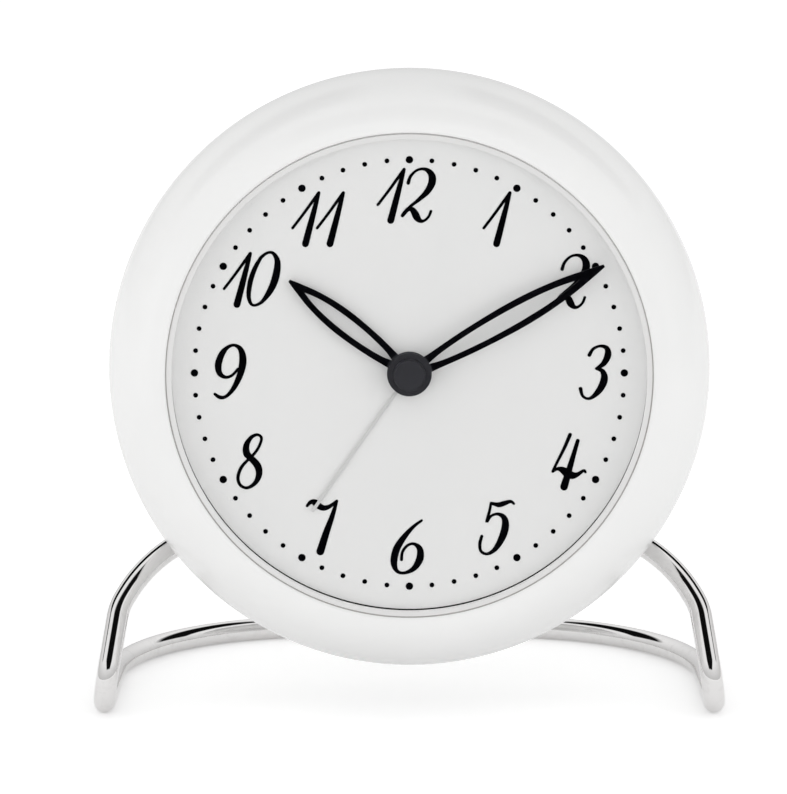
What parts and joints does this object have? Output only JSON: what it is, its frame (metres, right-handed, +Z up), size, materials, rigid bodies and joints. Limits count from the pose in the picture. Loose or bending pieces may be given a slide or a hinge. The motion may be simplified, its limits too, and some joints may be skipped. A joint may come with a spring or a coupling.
{
  "type": "table clock",
  "caption": "Round alarm clock with a deep rolled white rim and slender italic numerals, leaning back on a low stand bent from one chromed wire, with rear setting knobs and a top button.",
  "frame": {"origin": "centre of the overall box at table height, between the stand's rails", "axes": "+Z up; the dial faces -Y, leaning back by 6.4 degrees; +X is the dial's right-hand side"},
  "size_m": [0.1156, 0.0756, 0.1186],
  "materials": {
    "white_plastic": "satin white moulding",
    "lens": "clear domed lens",
    "dial_paint": "matt pale grey-white",
    "ink": "printed black ink",
    "black_plastic": "matt black",
    "hand_paint": "satin near-black lacquer",
    "alarm_metal": "pale silver-grey",
    "chrome": "polished chrome plating",
    "grey_plastic": "dark grey moulding",
    "steel": "bright steel",
    "wheel_brass": "stamped brass",
    "bobbin_plastic": "natural moulding",
    "copper": "enamelled copper wire",
    "board": "solder resist green",
    "cell_wrap": "plain gold and black sleeve",
    "lead_cover": "red insulation"
  },
  "bodies": {
    "case": {"front_ring": "white_plastic", "lens": "lens", "dial_gasket": "black_plastic", "dial": "dial_paint", "minute_track": "ink", "numerals": "ink", "dial_carrier": "grey_plastic", "case_drum": "white_plastic", "ring_screws": "steel", "rear_cover": "white_plastic", "cover_screws": "steel", "battery_cell": "cell_wrap", "plus_contact": "steel", "minus_contact": "steel", "battery_leads": "lead_cover", "stand_wire": "chrome", "movement_housing": "grey_plastic", "middle_plate": "grey_plastic", "movement_cover": "grey_plastic", "movement_screws": "steel", "circuit_board": "board", "clock_chip": "black_plastic", "quartz_crystal": "steel", "motor_stator": "steel", "coil_core": "steel", "coil_bobbin": "bobbin_plastic", "coil_winding": "copper", "alarm_contact": "steel", "buzzer_case": "black_plastic", "buzzer_disc": "wheel_brass", "buzzer_leads": "lead_cover", "slide_switch": "black_plastic", "snooze_switch": "black_plastic"},
    "minute": {"minute_arbor": "steel", "clutch_washer": "steel", "minute_hand": "hand_paint", "hub_cap": "hand_paint"},
    "hour": {"hour_wheel": "wheel_brass", "hour_hand": "hand_paint"},
    "motion": {"motion_wheel": "wheel_brass"},
    "time_setting": {"time_arbor": "steel", "time_knob": "white_plastic"},
    "alarm": {"alarm_wheel": "wheel_brass", "alarm_hand": "alarm_metal"},
    "idler": {"alarm_idler": "wheel_brass"},
    "alarm_setting": {"alarm_arbor": "steel", "alarm_knob": "white_plastic"},
    "seconds": {"seconds_wheel": "wheel_brass"},
    "third": {"third_wheel": "wheel_brass"},
    "centre": {"centre_wheel": "wheel_brass"},
    "step": {"step_wheel": "wheel_brass"},
    "rotor_body": {"rotor": "wheel_brass", "rotor_magnet": "steel"},
    "alarm_switch": {"alarm_slide": "black_plastic"},
    "snooze": {"snooze_button": "white_plastic", "switch_plunger": "steel"},
    "door": {"battery_door": "white_plastic"}
  },
  "joints": [
    {"name": "time_set_turn", "type": "hinge", "parent": "case", "child": "time_setting", "pos_m": [-0.01639, -0.02756, 0.07165], "axis": [0, -0.9938, 0.1115], "continuous": true},
    {"name": "minute_turn", "type": "hinge", "parent": "case", "child": "minute", "pos_m": [0, -0.02831, 0.0649], "axis": [0, -0.9938, 0.1115], "continuous": true},
    {"name": "hour_turn", "type": "hinge", "parent": "case", "child": "hour", "pos_m": [0, -0.02831, 0.0649], "axis": [0, -0.9938, 0.1115], "continuous": true},
    {"name": "motion_turn", "type": "hinge", "parent": "case", "child": "motion", "pos_m": [-0.00679, -0.02756, 0.07165], "axis": [0, -0.9938, 0.1115], "continuous": true},
    {"name": "alarm_set_turn", "type": "hinge", "parent": "case", "child": "alarm_setting", "pos_m": [0.01639, -0.02756, 0.07165], "axis": [0, -0.9938, 0.1115], "continuous": true},
    {"name": "alarm_turn", "type": "hinge", "parent": "case", "child": "alarm", "pos_m": [0, -0.02831, 0.0649], "axis": [0, -0.9938, 0.1115], "continuous": true},
    {"name": "alarm_idler_turn", "type": "hinge", "parent": "case", "child": "idler", "pos_m": [0.01195, -0.02819, 0.06601], "axis": [0, -0.9938, 0.1115], "continuous": true},
    {"name": "rotor_turn", "type": "hinge", "parent": "case", "child": "rotor_body", "pos_m": [0.00933, -0.0281, 0.06682], "axis": [0, -0.9938, 0.1115], "continuous": true},
    {"name": "step_turn", "type": "hinge", "parent": "case", "child": "step", "pos_m": [0.01418, -0.02841, 0.06404], "axis": [0, -0.9938, 0.1115], "continuous": true},
    {"name": "seconds_turn", "type": "hinge", "parent": "case", "child": "seconds", "pos_m": [0.01094, -0.02903, 0.05846], "axis": [0, -0.9938, 0.1115], "continuous": true},
    {"name": "third_turn", "type": "hinge", "parent": "case", "child": "third", "pos_m": [0.00374, -0.02903, 0.05846], "axis": [0, -0.9938, 0.1115], "continuous": true},
    {"name": "centre_turn", "type": "hinge", "parent": "case", "child": "centre", "pos_m": [0, -0.02831, 0.0649], "axis": [0, -0.9938, 0.1115], "continuous": true},
    {"name": "alarm_switch_slide", "type": "slide", "parent": "case", "child": "alarm_switch", "axis": [1, 0, 0], "range_m": [-0.0015, 0.0015]},
    {"name": "snooze_press", "type": "slide", "parent": "case", "child": "snooze", "axis": [0, -0.1115, -0.9938], "range_m": [0, 0.0012], "stiffness_N_per_m": 400, "springref_m": -0.0005},
    {"name": "battery_door_pull", "type": "slide", "parent": "case", "child": "door", "axis": [0, 0.9938, -0.1115], "range_m": [0, 0.02]}
  ],
  "couplings": [
    {"joint": "minute_turn", "follows": "time_set_turn", "ratio": 1},
    {"joint": "motion_turn", "follows": "time_set_turn", "ratio": -0.33333},
    {"joint": "hour_turn", "follows": "time_set_turn", "ratio": 0.083333},
    {"joint": "alarm_idler_turn", "follows": "alarm_set_turn", "ratio": -0.5},
    {"joint": "alarm_turn", "follows": "alarm_set_turn", "ratio": 0.33333},
    {"joint": "step_turn", "follows": "rotor_turn", "ratio": -0.16667},
    {"joint": "seconds_turn", "follows": "rotor_turn", "ratio": 0.033333},
    {"joint": "third_turn", "follows": "rotor_turn", "ratio": -0.0041667},
    {"joint": "centre_turn", "follows": "rotor_turn", "ratio": 0.00055556}
  ]
}
